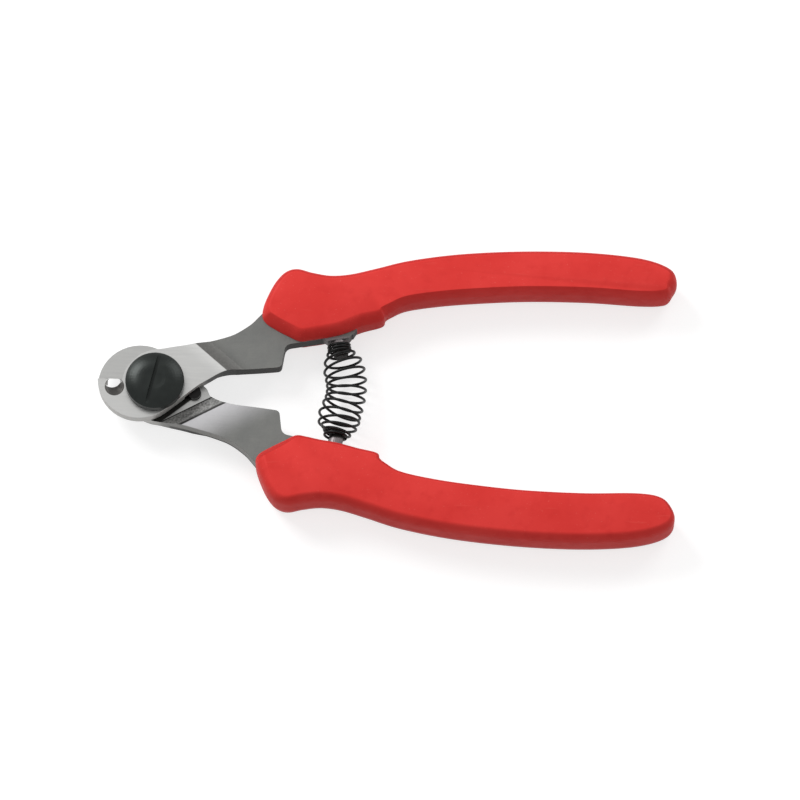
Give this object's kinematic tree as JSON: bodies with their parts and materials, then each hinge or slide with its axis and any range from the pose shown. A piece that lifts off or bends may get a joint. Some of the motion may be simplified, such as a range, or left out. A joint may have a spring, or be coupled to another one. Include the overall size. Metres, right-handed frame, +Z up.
{
  "type": "cable cutter",
  "caption": "One-hand wire rope and cable cutter with crossed forged levers, a notched jaw, a slotted pivot bolt, a bowed return spring and moulded grips.",
  "frame": {"origin": "on the pivot axis, in the plane of the pivot bolt's end face, which is also the plane the tool lies on", "axes": "+X from the pivot towards the grips, +Y towards the front lever's grip, +Z up along the pivot axis towards the bolt's head"},
  "size_m": [0.1884, 0.0996, 0.0163],
  "materials": {
    "lever_steel": "ground flats round the pivot, satin shanks, dark forged edges",
    "grip_plastic": "satin moulded red",
    "black_oxide": "black oxide with turning marks",
    "spring_wire": "black spring wire"
  },
  "bodies": {
    "back_half": {"back_lever": "lever_steel", "back_grip": "grip_plastic", "pivot_bolt": "black_oxide", "pivot_washer": "black_oxide", "pivot_nut": "black_oxide", "stop_pin": "black_oxide", "spring": "spring_wire"},
    "front_half": {"front_lever": "lever_steel", "front_grip": "grip_plastic"}
  },
  "joints": [
    {"name": "pivot", "type": "hinge", "parent": "back_half", "child": "front_half", "pos_m": [0, 0, 0.0075], "axis": [0, 0, 1], "range_deg": [-17, 16], "stiffness_Nm_per_rad": 2, "deforming": ["spring"]}
  ]
}
